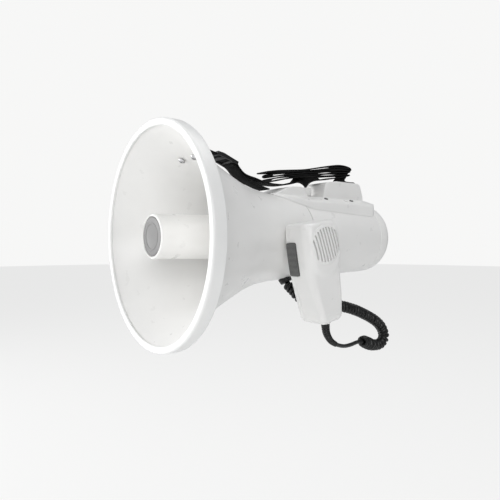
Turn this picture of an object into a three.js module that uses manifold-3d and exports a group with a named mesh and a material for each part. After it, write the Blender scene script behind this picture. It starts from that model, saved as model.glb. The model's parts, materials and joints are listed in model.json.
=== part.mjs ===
// Shoulder megaphone with a fist microphone: reflex horn, compression driver, amplifier, battery drawer,
// folded carrying strap and coiled microphone cord.
// Millimetres, +Z up. The horn axis runs along Y, and the mouth faces -Y. Inside the horn group y = 0 is the
// mouth plane and x = z = 0 the horn axis. The origin of the whole part is CARRY_POINT, under the body.
import * as THREE from "three";
import { mergeVertices } from "three/addons/utils/BufferGeometryUtils.js";
import Module from "manifold-3d";

// ---------------------------------------------------------------- driving dimensions
const GAP = 0.3; // clearance between touching pieces
const WALL = 2.5; // moulded wall thickness

const MOUTH_R = 115; // outer radius of the mouth rim
const RIM_DEPTH = 14;
const BELL_FRONT_Y = 4.3;
const NECK_END_Y = 180.3; // rear edge of the bell
const BODY_START_Y = 181.7; // front edge of the body, behind the seam
const BODY_FRONT_R = 50;
const BODY_REAR_R = 46.9;
const BODY_END_Y = 308.5;
const DOME_Y = 317.5; // where the round end starts
const DOME_R = 46.5;
const DOME_DEPTH = 29;

const REFLECTOR_R = 22.8; // front radius of the central reflector
const REFLECTOR_END_Y = 150;
const THROAT_R = 5.5;
const HORN_BACK_Y = 178;

const CELL_R = 13.05; // C size cell
const CELL_LENGTH = 49.6;
const CELL_CIRCLE_R = 15.5; // three columns of cells, centred on this circle
const CELL_START_Y = 212.6;

const PLINTH_TOP = 52.3; // crown of the control housing
const PLINTH_HALF_WIDTH = 39;
const PLINTH_END_Y = 309;
const KNOB_Y = 212;
const KNOB_R = 9;
const KNOB_TOP = 62.6;

const MIC_BACK_X = 58; // back plane of the microphone
const MIC_Y = 151; // axis of the hanging stud
const MIC_TILT = THREE.MathUtils.degToRad(8.5);
const MIC_PARTING = 8; // depth of the joint between the two microphone shells
const PTT = { low: -38.5, high: -2.5, back: 3, front: 16.6 };

const STRAP_WIDTH = 20;
const CORD_R = 2.3;
const COIL_R = 7;
const CARRY_POINT = new THREE.Vector3(0, 200, -50);

// ---------------------------------------------------------------- materials
const finish = (color, roughness, metalness = 0) =>
  new THREE.MeshStandardMaterial({ color, roughness, metalness });
const shell = finish(0xe6e5e2, 0.42);
const rimPlastic = finish(0xefefed, 0.38);
const darkPlastic = finish(0x5f5f5e, 0.6);
const badgeSilver = finish(0xb4b5b6, 0.4, 0.3);
const webbing = finish(0x161616, 0.85);
const blackRubber = finish(0x131313, 0.55);
const steel = finish(0xbfc1c4, 0.3, 1);
const zincSteel = finish(0x8d9093, 0.45, 1);
const ferrite = finish(0x2d2d30, 0.7);
const phenolic = finish(0x9a6a38, 0.6);
const copper = finish(0xb8703c, 0.35, 1);
const brass = finish(0xc2a356, 0.35, 1);
const boardGreen = finish(0x1f5a34, 0.55);
const cellJacket = finish(0x30343a, 0.4);
const foam = finish(0x3a3a3a, 0.95);

// ---------------------------------------------------------------- solids
const ROUND = 40; // sides of the large round shells
const SIDES = 24; // sides of the small turned pieces
const wasm = await Module();
wasm.setup();

function solid(geometry) {
  const bare = geometry.index ? geometry.toNonIndexed() : geometry.clone();
  bare.deleteAttribute("normal");
  bare.deleteAttribute("uv");
  const merged = mergeVertices(bare, 1e-4);
  const mesh = new wasm.Mesh({
    numProp: 3,
    vertProperties: merged.attributes.position.array,
    triVerts: new Uint32Array(merged.index.array),
  });
  return new wasm.Manifold(mesh);
}

function geometryOf(manifold) {
  const mesh = manifold.getMesh();
  const geometry = new THREE.BufferGeometry();
  geometry.setAttribute("position", new THREE.BufferAttribute(new Float32Array(mesh.vertProperties), 3));
  geometry.setIndex(new THREE.BufferAttribute(new Uint32Array(mesh.triVerts), 1));
  geometry.computeVertexNormals();
  return geometry;
}

const cut = (body, ...tools) =>
  geometryOf(tools.reduce((rest, tool) => rest.subtract(solid(tool)), solid(body)));
const join = (...bodies) =>
  geometryOf(bodies.slice(1).reduce((sum, body) => sum.add(solid(body)), solid(bodies[0])));
const common = (a, b) => geometryOf(solid(a).intersect(solid(b)));

// A box from its lowest and highest corners.
function box(low, high) {
  const size = high.map((value, i) => value - low[i]);
  const centre = high.map((value, i) => (value + low[i]) / 2);
  return new THREE.BoxGeometry(...size).translate(...centre);
}

// A solid of revolution about the horn axis, from [radius, y] points in either direction.
function turned(points, segments = SIDES) {
  const profile = points.map(([r, y]) => new THREE.Vector2(r, y));
  if (THREE.ShapeUtils.area(profile) < 0) profile.reverse();
  const onAxis = profile.findIndex((p, i) => p.x === 0 && profile.at(i - 1).x === 0);
  if (onAxis >= 0) profile.push(...profile.splice(0, onAxis));
  else profile.push(profile[0].clone());
  return new THREE.LatheGeometry(profile, segments);
}

const disc = (radius, low, high, segments) =>
  turned([[0, low], [radius, low], [radius, high], [0, high]], segments);
const ring = (inner, outer, low, high, segments) =>
  turned([[inner, low], [outer, low], [outer, high], [inner, high]], segments);

// An upright round bar, its axis along Z.
const post = (radius, low, high, segments = 24) =>
  disc(radius, low, high, segments).rotateX(Math.PI / 2);

// A flat outline of [y, z] points, made width wide across X.
function across(points, width) {
  const shape = new THREE.Shape(points.map(([y, z]) => new THREE.Vector2(y, z)));
  const slab = new THREE.ExtrudeGeometry(shape, { depth: width, bevelEnabled: false });
  return slab.translate(0, 0, -width / 2).applyMatrix4(
    new THREE.Matrix4().makeBasis(
      new THREE.Vector3(0, 1, 0), new THREE.Vector3(0, 0, 1), new THREE.Vector3(1, 0, 0),
    ),
  );
}

// A closed skin over a stack of rings that hold the same number of points each.
function loft(rings) {
  const count = rings[0].length;
  const last = rings.length - 1;
  const position = rings.flat().flatMap((p) => p.toArray());
  const index = [];
  for (let k = 0; k < last; k++)
    for (let i = 0; i < count; i++) {
      const [a, b] = [k * count + i, k * count + ((i + 1) % count)];
      index.push(a, b, a + count, b, b + count, a + count);
    }
  for (let i = 1; i < count - 1; i++) {
    index.push(0, i + 1, i);
    index.push(last * count, last * count + i, last * count + i + 1);
  }
  const geometry = new THREE.BufferGeometry();
  geometry.setAttribute("position", new THREE.Float32BufferAttribute(position, 3));
  geometry.setIndex(index);
  return geometry;
}

// A round bar of changing radius along a curve.
function sleeve(curve, steps, radiusAt, sides = 14) {
  const frames = curve.computeFrenetFrames(steps, false);
  const rings = Array.from({ length: steps + 1 }, (_, k) => {
    const centre = curve.getPointAt(k / steps);
    const radius = radiusAt(k / steps);
    return Array.from({ length: sides }, (_, i) => {
      const angle = (2 * Math.PI * i) / sides;
      return centre.clone()
        .addScaledVector(frames.normals[k], radius * Math.cos(angle))
        .addScaledVector(frames.binormals[k], radius * Math.sin(angle));
    });
  });
  return loft(rings);
}

// A round tube of constant radius along a curve.
function tube(curve, radius, steps, sides) {
  const corners = Array.from({ length: sides }, (_, i) => {
    const angle = (2 * Math.PI * i) / sides;
    return new THREE.Vector2(radius * Math.cos(angle), radius * Math.sin(angle));
  });
  return new THREE.ExtrudeGeometry(new THREE.Shape(corners), {
    steps, extrudePath: curve, bevelEnabled: false,
  });
}

const root = new THREE.Group();
const horn = new THREE.Group();
horn.position.copy(CARRY_POINT).negate();
root.add(horn);

function add(group, name, geometry, material) {
  const mesh = new THREE.Mesh(geometry, material);
  mesh.name = name;
  group.add(mesh);
  return mesh;
}

// ---------------------------------------------------------------- horn
// Outer line of the bell, as [y, radius].
const BELL_LINE = [
  [BELL_FRONT_Y, 109.8], [14, 103.6], [44, 85.5], [77, 69.8], [96, 61.8],
  [117, 55.6], [138, 52.4], [161, 51], [NECK_END_Y, BODY_FRONT_R],
];
const BELL_STEPS = 11;
const bellCurve = new THREE.SplineCurve(BELL_LINE.map(([y, r]) => new THREE.Vector2(y, r)));

// The bell line moved outward by offset, as [radius, y] points.
function bellSkin(offset) {
  return Array.from({ length: BELL_STEPS + 1 }, (_, k) => {
    const point = bellCurve.getPointAt(k / BELL_STEPS);
    const along = bellCurve.getTangentAt(k / BELL_STEPS);
    return [point.y + offset * along.x, point.x - offset * along.y];
  });
}

const bellEnvelope = turned([...bellSkin(GAP), [0, NECK_END_Y], [0, BELL_FRONT_Y]], ROUND);

// Frame of the front strap bracket, square to the bell surface at its top.
const BRACKET_Y = 45;
const BRACKET_TILT = THREE.MathUtils.degToRad(-29.5);
const BRACKET_SCREW_X = 12.5;
const bracketFrame = new THREE.Matrix4()
  .makeTranslation(0, BRACKET_Y, 84.9)
  .multiply(new THREE.Matrix4().makeRotationX(BRACKET_TILT));
const onBracket = (geometry) => geometry.applyMatrix4(bracketFrame);

function buildBell() {
  const skin = turned([...bellSkin(0), ...bellSkin(-WALL).reverse()], ROUND);
  const holes = [-1, 1].map((side) => onBracket(post(2, -9, 9, 12).translate(side * BRACKET_SCREW_X, 0, 0)));
  return cut(skin, ...holes);
}

function buildRim() {
  const lip = 107.7;
  return turned([
    [lip, 1.2], [lip + 1.4, 0], [MOUTH_R - 2.5, 0], [MOUTH_R, 2], [MOUTH_R, RIM_DEPTH - 2],
    [MOUTH_R - 2.5, RIM_DEPTH], [104.8, RIM_DEPTH], [106.4, 11.2],
    [MOUTH_R - 3, 11.2], [MOUTH_R - 3, 2.6], [lip, 2.6],
  ], ROUND);
}

// Reflector: closed at the mouth, open to the rear, where it widens.
const REFLECTOR_LINE = [[4.6, 22.6], [30, REFLECTOR_R], [80, 24.6], [120, 28], [REFLECTOR_END_Y, 33]];
const BADGE_R = 19.6;

function buildReflector() {
  const line = new THREE.SplineCurve(REFLECTOR_LINE.map(([y, r]) => new THREE.Vector2(y, r)));
  const outer = line.getPoints(6).map((p) => [p.y, p.x]);
  const inner = outer.map(([r, y]) => [r - 1.9, Math.max(y, 6.2)]).reverse();
  return turned([
    [0, 3.2], [BADGE_R + 0.5, 3.2], [BADGE_R + 0.5, 1.6], [21.5, 1.9], [22.3, 2.9],
    ...outer, ...inner, [0, 6.2],
  ]);
}

function buildVane(angle) {
  const outline = [[114, 27.9], [114, 52.4], [128, 50], [146, 48.5], [146, 32.8]];
  return across(outline, 2.4).rotateY(angle);
}

add(horn, "bell", buildBell(), shell);
add(horn, "rim_ring", buildRim(), rimPlastic);
add(horn, "reflector_horn", buildReflector(), shell);
add(horn, "nose_badge", turned([
  [0, 1.7], [12, 1.7], [12.6, 1.2], [13.6, 1.2], [14.2, 1.7], [BADGE_R - 1, 1.7],
  [BADGE_R, 2.2], [BADGE_R, 2.9], [0, 2.9],
]), badgeSilver);
add(horn, "throat_tube", turned([
  [11, 34], [13, 34], [8.6, 150], [8.6, HORN_BACK_Y + GAP], [16, HORN_BACK_Y + GAP],
  [16, HORN_BACK_Y + 3], [THROAT_R, HORN_BACK_Y + 3], [6.6, 150],
], 32), shell);
add(horn, "horn_back", turned([
  [9, 174], [28, 173], [40, 169], [46.4, 160], [47.3, 160], [47.3, HORN_BACK_Y], [9, HORN_BACK_Y],
]), shell);
[90, 210, 330].forEach((degrees, i) =>
  add(horn, `reflector_vane_${i + 1}`, buildVane(THREE.MathUtils.degToRad(degrees)), shell));

// ---------------------------------------------------------------- compression driver
const DRIVER_Y = HORN_BACK_Y + 3 + GAP;
add(horn, "driver_front_plate", ring(THROAT_R, 40, DRIVER_Y, DRIVER_Y + 3), zincSteel);
add(horn, "diaphragm_gasket", ring(25, 38, DRIVER_Y + 3.3, DRIVER_Y + 4.5), blackRubber);
add(horn, "diaphragm", turned([
  [0, 187.3], [7, 186.9], [12, 185.6], [18, 185.9], [24.4, 185.2], [24.4, 185.9], [18, 186.6],
  [12, 186.3], [7, 187.6], [0, 188],
]), phenolic);
add(horn, "voice_coil", ring(11.3, 12.2, 186.9, 194), copper);
add(horn, "top_plate", ring(13, 36, 188.6, 192.6), zincSteel);
add(horn, "magnet", ring(17, 34, 192.9, 202.6), ferrite);
add(horn, "yoke", turned([[0, 189.5], [10.5, 189.5], [10.5, 202.9], [36, 202.9], [36, 206.9], [0, 206.9]]),
  zincSteel);

// ---------------------------------------------------------------- body, control housing and drawer
const bodyLine = [[BODY_FRONT_R, BODY_START_Y], [BODY_REAR_R, BODY_END_Y]];
const bodyEnvelope = turned([
  [0, 140], [BODY_FRONT_R + GAP, BODY_START_Y - 1], [BODY_REAR_R + GAP, BODY_END_Y],
  [DOME_R + GAP + 0.2, 335], [0, 335],
], ROUND);

function buildBody() {
  const tubeWall = turned([
    ...bodyLine, [BODY_REAR_R - WALL, BODY_END_Y], [BODY_FRONT_R - WALL, BODY_START_Y],
  ], ROUND);
  return cut(tubeWall, box([-28, 203, 20], [28, 292, 60]));
}

// Cross-section of the control housing, as [x, z] for x >= 0, from the foot to the crown.
const PLINTH_SIDE = [[PLINTH_HALF_WIDTH, 22], [36.6, 42], [34, 45], [18, 50.6], [0, PLINTH_TOP]];
const FRONT_BLOCK = [
  [144, 44], [144, 49.5], [166, 58.6], [174, 60.6], [188, 61.2], [193.5, 59.8], [199, 51], [199, 44],
];
const REAR_BLOCK = [
  [225, 44], [227, 57], [230, 67.4], [234, 70.4], [250, 72.8], [292, 73], [297, 71], [303, 56], [303, 44],
];

function buildControlHousing() {
  const half = PLINTH_SIDE.map(([x, z]) => new THREE.Vector2(x, z));
  const section = new THREE.Shape([...half, ...half.slice(0, -1).reverse().map((p) => new THREE.Vector2(-p.x, p.y))]);
  const plinth = new THREE.ExtrudeGeometry(section, { depth: PLINTH_END_Y - 144, bevelEnabled: false })
    .rotateX(Math.PI / 2).translate(0, PLINTH_END_Y, 0);
  const plan = new THREE.Shape([
    [-19, 144], [19, 144], [31, 166], [PLINTH_HALF_WIDTH, 198], [PLINTH_HALF_WIDTH, 299],
    [34, PLINTH_END_Y], [-34, PLINTH_END_Y], [-PLINTH_HALF_WIDTH, 299], [-PLINTH_HALF_WIDTH, 198], [-31, 166],
  ].map(([x, y]) => new THREE.Vector2(x, y)));
  const footprint = new THREE.ExtrudeGeometry(plan, { depth: 60, bevelEnabled: false }).translate(0, 0, 20);
  const outside = join(common(plinth, footprint), across(FRONT_BLOCK, 38), across(REAR_BLOCK, 40));
  return cut(
    outside, bellEnvelope, bodyEnvelope,
    box([-27, 204, 30], [27, 290, 44.6]), box([-17, 204, 40], [17, 290, 48.2]),
    box([-17, 233, 40], [17, 290, 69]),
    post(3.4, 40, 70).translate(0, KNOB_Y, 0),
    ...SWITCH_SLOT, ...LAMP_Y.map((y) => lampShape(y, 0.3)),
  );
}

// Sloping shoulder of the control housing, where the switch and the lamps sit.
const SHOULDER_SLOPE = Math.atan2(50.6 - 45, 34 - 18);
const shoulder = (side, y) => new THREE.Matrix4()
  .makeTranslation(side * 26, y, 47.8)
  .multiply(new THREE.Matrix4().makeRotationY(side * SHOULDER_SLOPE));
const SWITCH_Y = 246;
const SWITCH_TRAVEL = 6;
const LAMP_Y = [224, 272];
const SWITCH_SLOT = [
  box([-1.8, -3.4, -8], [1.8, 3.4 + SWITCH_TRAVEL, 8]).applyMatrix4(shoulder(-1, SWITCH_Y)),
];
const lampShape = (y, margin) =>
  post(2.6 + margin, -1.4 - margin, 1.2, 16).scale(1, 1.5, 1).applyMatrix4(shoulder(1, y));

add(horn, "body_shell", buildBody(), shell);
add(horn, "control_housing", buildControlHousing(), shell);
LAMP_Y.forEach((y, i) => add(horn, `lamp_window_${i + 1}`, lampShape(y, 0), darkPlastic));

add(horn, "volume_knob", join(
  post(KNOB_R, PLINTH_TOP + GAP, KNOB_TOP, 28),
  post(3, 44, PLINTH_TOP + 1),
  box([-0.7, -KNOB_R + 1, KNOB_TOP - 1], [0.7, -2, KNOB_TOP + 0.6]),
).translate(0, KNOB_Y, 0), shell);
add(horn, "volume_control", ring(3.4, 8, 38.4, 46.4).rotateX(Math.PI / 2).translate(0, KNOB_Y, 0), zincSteel);
add(horn, "mode_switch", join(
  box([-3.6, -4.4, GAP], [3.6, 4.4, 3]), box([-1.4, -3, -4], [1.4, 3, 1]),
).applyMatrix4(shoulder(-1, SWITCH_Y)), darkPlastic);

// Amplifier, on a board above the battery.
const BOARD_TOP = 36.4;
add(horn, "amplifier_board", box([-26, 208, BOARD_TOP - 1.6], [26, 288, BOARD_TOP]), boardGreen);
const fins = [-8, -4, 0, 4, 8].map((x) => box([x - 0.7, 0, 2], [x + 0.7, 34, 9]));
add(horn, "heat_sink", join(box([-10, 0, 0], [10, 34, 2.4]), ...fins)
  .translate(0, 250, BOARD_TOP + GAP), zincSteel);
add(horn, "capacitor", post(5, BOARD_TOP + GAP, 44.2, 18).translate(-18, 222, 0), cellJacket);

// Drawer: the round end cover with the battery magazine behind it.
function buildCover() {
  const arc = Array.from({ length: 7 }, (_, k) => (k * Math.PI) / 12);
  const dome = (inset) => arc.map((a, i) => [
    i < arc.length - 1 ? (DOME_R - inset) * Math.cos(a) : 0,
    DOME_Y + (DOME_DEPTH - inset) * Math.sin(a),
  ]);
  return turned([
    [42, BODY_END_Y - 6], [BODY_REAR_R - WALL - 0.5, BODY_END_Y - 6],
    [BODY_REAR_R - WALL - 0.5, BODY_END_Y + GAP],
    [BODY_REAR_R, BODY_END_Y + GAP], ...dome(0), ...dome(WALL).reverse(), [42, DOME_Y - 6],
  ], ROUND);
}
add(horn, "battery_cover", buildCover(), shell);
const MAGAZINE_R = 29.6;
const MAGAZINE_END_Y = CELL_START_Y + 2 * CELL_LENGTH + GAP;
add(horn, "battery_magazine", join(
  disc(MAGAZINE_R, 208.6, 211), disc(1.8, 210, MAGAZINE_END_Y + 2, 16),
  disc(MAGAZINE_R, MAGAZINE_END_Y + 1.2, MAGAZINE_END_Y + 3.6),
), darkPlastic);
add(horn, "front_contacts", ring(2.2, 28, 211.3, 212.2, 32), brass);
add(horn, "rear_contacts", ring(2.2, 28, MAGAZINE_END_Y + GAP, MAGAZINE_END_Y + 0.9, 32), brass);
const cellShape = () => turned([
  [0, 0], [CELL_R, 0], [CELL_R, 47.6], [3.4, 48], [3.4, CELL_LENGTH], [0, CELL_LENGTH],
], 16);
for (const row of [0, 1])
  [90, 210, 330].map(THREE.MathUtils.degToRad).forEach((angle, i) => {
    const cell = add(horn, `cell_${3 * row + i + 1}`, cellShape(), cellJacket);
    cell.position.set(
      CELL_CIRCLE_R * Math.cos(angle), CELL_START_Y + row * (CELL_LENGTH + GAP) - 0.1, CELL_CIRCLE_R * Math.sin(angle),
    );
  });

// ---------------------------------------------------------------- microphone hook on the neck
const STUD_R = 2.3;
const SLOT_R = 3;
function buildHook() {
  const plate = box([55.3, -11, -13], [57.3, 11, 6]);
  const legs = [-11, 8].map((y) => box([46, y, -13], [57.3, y + 3, 6]));
  const seat = post(SLOT_R, 50, 60, 20).rotateY(Math.PI / 2);
  const mouth = box([50, -SLOT_R, 0], [60, SLOT_R, 9]);
  return cut(join(plate, ...legs), seat, mouth, bellEnvelope.clone().translate(0, -MIC_Y, 0));
}
add(horn, "mic_hook", buildHook().translate(0, MIC_Y, 0), shell);

// ---------------------------------------------------------------- fist microphone
const mic = new THREE.Group();
mic.position.set(MIC_BACK_X, MIC_Y, 0);
mic.rotation.x = MIC_TILT;
horn.add(mic);

// Half width and front depth of the microphone at each height, with the back pulled in at both ends.
const MIC_SECTIONS = [
  { z: -92, half: 8.6, back: 7, front: 27.5 }, { z: -89.4, half: 13, back: 2.6, front: 32.4 },
  { z: -83, half: 16.6, back: 0, front: 35.6 }, { z: -72, half: 18.6, back: 0, front: 35.2 },
  { z: -60, half: 21, back: 0, front: 34.4 }, { z: -42, half: 23.9, back: 0, front: 32.8 },
  { z: -30, half: 24.8, back: 0, front: 34.4 }, { z: -10, half: 25.6, back: 0, front: 35.6 },
  { z: 2, half: 25.4, back: 0, front: 35 }, { z: 9, half: 24.4, back: 0, front: 33.6 },
  { z: 13.8, half: 21.2, back: 1.4, front: 30.8 }, { z: 16, half: 16.2, back: 5, front: 26 },
];
const CORNER_STEPS = 3;

// A rounded rectangle across the microphone, with soft front corners and tighter back ones.
function micRing({ z, half, back, front }, inset) {
  const corners = [
    { x: front - inset, y: half - inset, radius: 7, start: 0 },
    { x: back + inset, y: half - inset, radius: 4, start: Math.PI / 2 },
    { x: back + inset, y: -half + inset, radius: 4, start: Math.PI },
    { x: front - inset, y: -half + inset, radius: 7, start: 1.5 * Math.PI },
  ];
  return corners.flatMap(({ x, y, radius, start }) => {
    const r = Math.min(radius - inset / 2, (front - back) / 2 - inset - 0.5);
    const centre = [x - r * Math.sign(x - (front + back) / 2), y - r * Math.sign(y)];
    return Array.from({ length: CORNER_STEPS + 1 }, (_, k) => {
      const angle = start + (k * Math.PI) / 2 / CORNER_STEPS;
      return new THREE.Vector3(centre[0] + r * Math.cos(angle), centre[1] + r * Math.sin(angle), z);
    });
  });
}
const micBody = (inset) => loft(MIC_SECTIONS.map((s, i) => {
  const end = i === 0 ? inset : i === MIC_SECTIONS.length - 1 ? -inset : 0;
  return micRing({ ...s, z: s.z + end }, inset);
}));

const micOutside = micBody(0);
const micInside = micBody(2.2);
const pttOpening = box([PTT.back, -40, PTT.low], [PTT.front, -14, PTT.high]);
const GLAND = { x: 20, y: 2, bottom: -94.4 };
const glandHole = post(5, -100, -84, 20).translate(GLAND.x, GLAND.y, 0);
const GRILLE = { z: -8, y: 0, halfWidth: 19.4, halfHeight: 21.4, face: 35.6, depth: 2.6 };
const grilleDisc = (margin) => new THREE.CylinderGeometry(1, 1, 1, 28)
  .rotateZ(Math.PI / 2)
  .scale(GRILLE.depth + 2 * margin, GRILLE.halfWidth + margin, GRILLE.halfHeight + margin)
  .translate(GRILLE.face - GRILLE.depth / 2, GRILLE.y, GRILLE.z);

function buildMicBack() {
  const half = common(micOutside, box([-1, -40, -120], [MIC_PARTING, 40, 30]));
  const studHole = post(STUD_R + GAP, -3, 6, 20).rotateY(Math.PI / 2);
  return cut(half, micInside, pttOpening, glandHole, studHole);
}
function buildMicFront() {
  const half = common(micOutside, box([MIC_PARTING + GAP, -40, -120], [60, 40, 30]));
  return cut(half, micInside, pttOpening, glandHole, grilleDisc(0.3));
}
const SLOT_PITCH = 3.6;
function buildGrille() {
  const slots = [-4, -3, -2, -1, 0, 1, 2, 3, 4].map((k) => {
    const reach = 17 * Math.sqrt(1 - (k / 5.2) ** 2);
    return box([30, -0.8, -reach], [40, 0.8, reach])
      .translate(0, k * SLOT_PITCH, 0)
      .rotateX(THREE.MathUtils.degToRad(8))
      .translate(0, GRILLE.y, GRILLE.z);
  });
  return cut(grilleDisc(0), ...slots);
}
add(mic, "mic_back_cover", buildMicBack(), shell);
add(mic, "mic_front_shell", buildMicFront(), shell);
add(mic, "mic_grille", buildGrille(), shell);
add(mic, "mic_capsule", disc(8, 0, 6, 24).rotateZ(-Math.PI / 2).translate(24, 0, GRILLE.z), foam);
add(mic, "mic_stud", join(
  post(STUD_R, -3.2, 3.6, 20), post(5.2, -5.2, -3, 20), post(4.4, 2.7, 4.4, 20),
).rotateY(Math.PI / 2), zincSteel);
[[-76, 0], [10.5, 10]].forEach(([z, y], i) =>
  add(mic, `mic_screw_${i + 1}`, post(2.3, -0.9, -0.3, 16).rotateY(Math.PI / 2).translate(0, y, z), zincSteel));

const buttonSkin = loft(MIC_SECTIONS.map((s) => micRing({ ...s, half: s.half + 1.6 }, 0)));
add(mic, "ptt_button", common(buttonSkin, box(
  [PTT.back + 0.4, -40, PTT.low + 0.4], [PTT.front - 0.4, -19, PTT.high - 0.4],
)), darkPlastic);
add(mic, "ptt_switch", box([8.2, -16, -30], [14, -9, -17]), darkPlastic);
add(mic, "mic_gland", join(
  post(4.6, GLAND.bottom + 0.4, GLAND.bottom + 7, 20), post(6, GLAND.bottom, GLAND.bottom + 2.1, 20),
).translate(GLAND.x, GLAND.y, 0), shell);

// ---------------------------------------------------------------- microphone cord
// Where the cord leaves the gland, seen from the horn group.
mic.updateMatrix();
const micExit = new THREE.Vector3(GLAND.x, GLAND.y, GLAND.bottom - 1.3).applyMatrix4(mic.matrix);
const NECK_EXIT = new THREE.Vector3(14, 166, -48.9);
const BOOT_ROUTE = [[77.5, 169.6, -104.2], [76, 177.7, -113.7], [74.5, 187.6, -119.5]];
const STRAIGHT_ROUTE = [
  [73, 196.8, -122.6], [71, 207.7, -125], [68.5, 221.3, -125.7], [66, 233.4, -125.3], [64, 243.4, -125.6],
];
const COIL_ROUTE = [
  [63.88, 244.2, -125.65], [63.3, 250.5, -126.6], [62.4, 259.5, -130.2], [62, 271.3, -134.2], [61, 286, -134.9],
  [60.5, 295, -128], [60, 291.5, -116], [59.5, 278.5, -104.8], [58, 254.6, -93.1], [56, 234.3, -85.7],
  [53, 216.1, -81.1], [48, 199, -79], [41, 184.5, -77], [32.5, 173.7, -70.5], [24.5, 169.8, -62],
];
const vectors = (points) => points.map((p) => new THREE.Vector3(...p));
const bootCurve = new THREE.CatmullRomCurve3([micExit, ...vectors(BOOT_ROUTE)]);
const bootEnd = bootCurve.getPointAt(1);
const bootWay = bootCurve.getTangentAt(1);
const cordCurve = new THREE.CatmullRomCurve3([
  bootEnd.clone().addScaledVector(bootWay, 2 * GAP), bootEnd.clone().addScaledVector(bootWay, 5),
  ...vectors(STRAIGHT_ROUTE),
]);
const socketWay = new THREE.Vector3(0.45, 0.2, -0.87);
const socketTip = NECK_EXIT.clone().addScaledVector(socketWay, 5);
const coilCurve = new THREE.CatmullRomCurve3([
  ...vectors(COIL_ROUTE), socketTip.clone().addScaledVector(socketWay, 4),
  socketTip.clone().addScaledVector(socketWay, 2 * GAP),
]);
add(horn, "cord_boot_mic", sleeve(bootCurve, 12, (t) => 4.7 - 1.7 * t), blackRubber);
add(horn, "cord_straight", tube(cordCurve, CORD_R, 26, 8), blackRubber);
add(horn, "cord_coil", tube(coilCurve, COIL_R, 40, 10), blackRubber);
add(horn, "cord_socket", cut(
  sleeve(new THREE.LineCurve3(NECK_EXIT.clone().addScaledVector(socketWay, -4), socketTip), 3,
    (t) => 8.4 - 0.8 * t, 18),
  bellEnvelope,
), blackRubber);

// ---------------------------------------------------------------- strap
function buildStrapBracket() {
  const base = onBracket(box([-17, -9, -5], [17, 9, 2.6]));
  const ears = [-14.6, 11.6].map((x) => onBracket(box([x, 3.4, 0], [x + 3, 8.6, 11.6])));
  const bar = onBracket(new THREE.CylinderGeometry(1.7, 1.7, 29, 16).rotateZ(Math.PI / 2).translate(0, 5, 9.4));
  const holes = [-1, 1].map((side) => onBracket(post(1.9, -9, 9, 12).translate(side * BRACKET_SCREW_X, 0, 0)));
  return cut(join(base, ...ears, bar), bellEnvelope, ...holes);
}
add(horn, "strap_bracket", buildStrapBracket(), darkPlastic);
[-1, 1].forEach((side, i) => add(horn, `bracket_screw_${i + 1}`, onBracket(
  join(post(1.6, -6, 4.4, 12), post(3.7, -6.6, -4.6, 20), post(3, 2.9, 4.8, 6))
    .translate(side * BRACKET_SCREW_X, 0, 0),
), steel));

// Strap pieces are outlines in the Y Z plane, as wide as the webbing.
add(horn, "strap_front_run", across([
  [51, 92.7], [51, 94.4], [57, 94], [71, 91], [71, 89.2], [57, 92.2],
], STRAP_WIDTH), webbing);
add(horn, "strap_buckle", cut(
  across([[71.4, 87.6], [72, 91.2], [80, 89.8], [99, 82.4], [97.8, 79], [80, 86]], 27),
  box([-10.5, 74.5, 70], [10.5, 79.5, 100]),
  box([-10.5, 84, 70], [10.5, 92, 100]),
), darkPlastic);
add(horn, "strap_middle_run", across([
  [99.4, 83], [104, 78], [110, 73], [118, 70], [138, 66], [146.4, 64], [146.4, 60.4], [136, 62.2], [124, 64.4],
  [113, 66.8], [105, 71.4], [98.6, 78.4],
], STRAP_WIDTH), webbing);
add(horn, "strap_bundle", across([
  [147.2, 62], [147, 73.6], [156, 79], [176, 81.4], [204, 85.4], [226, 89.6], [249, 94.4], [268, 96.4],
  [282, 96.2], [290, 93.6], [286, 88], [284, 80], [276, 76.4], [250, 75], [234, 73], [226, 70.2], [216, 66],
  [200, 65], [192, 62.4], [160, 61.9],
], 26), webbing);
add(horn, "strap_rear_run", across([
  [277, 74.2], [277, 75.7], [299, 75.9], [304.4, 66], [305.4, 58.6], [303.9, 58], [302.6, 65], [297.6, 74.2],
], STRAP_WIDTH), webbing);
add(horn, "strap_anchor", join(
  box([-13, 303.4, 51.9], [-10.6, 308, 57.4]), box([10.6, 303.4, 51.9], [13, 308, 57.4]),
  new THREE.CylinderGeometry(1.3, 1.3, 24, 14).rotateZ(Math.PI / 2).translate(0, 305.4, 55.6),
), darkPlastic);

export default root;
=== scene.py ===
"""Shoulder megaphone with a fist microphone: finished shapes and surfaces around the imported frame."""

import json
import math

import bmesh
import bpy
from bpy.props import FloatProperty, FloatVectorProperty, IntProperty, PointerProperty
from mathutils import Matrix, Vector


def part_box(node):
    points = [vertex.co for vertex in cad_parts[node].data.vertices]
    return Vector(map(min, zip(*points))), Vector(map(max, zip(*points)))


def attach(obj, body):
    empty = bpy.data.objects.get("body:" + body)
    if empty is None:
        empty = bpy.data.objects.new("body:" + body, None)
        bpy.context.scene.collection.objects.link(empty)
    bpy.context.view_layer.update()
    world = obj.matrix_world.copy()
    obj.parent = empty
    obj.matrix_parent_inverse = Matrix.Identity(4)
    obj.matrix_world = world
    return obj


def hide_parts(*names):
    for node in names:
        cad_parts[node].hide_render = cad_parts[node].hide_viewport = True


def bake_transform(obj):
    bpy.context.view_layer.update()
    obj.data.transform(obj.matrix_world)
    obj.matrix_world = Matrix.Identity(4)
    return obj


bl_info = {
    "name": "Shoulder Megaphone",
    "version": (1, 0, 0),
    "blender": (4, 5, 0),
    "location": "View3D > Sidebar > Megaphone",
    "description": "Builds a reflex horn megaphone with a fist microphone, curly cord and folded strap",
    "category": "Object",
}

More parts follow.
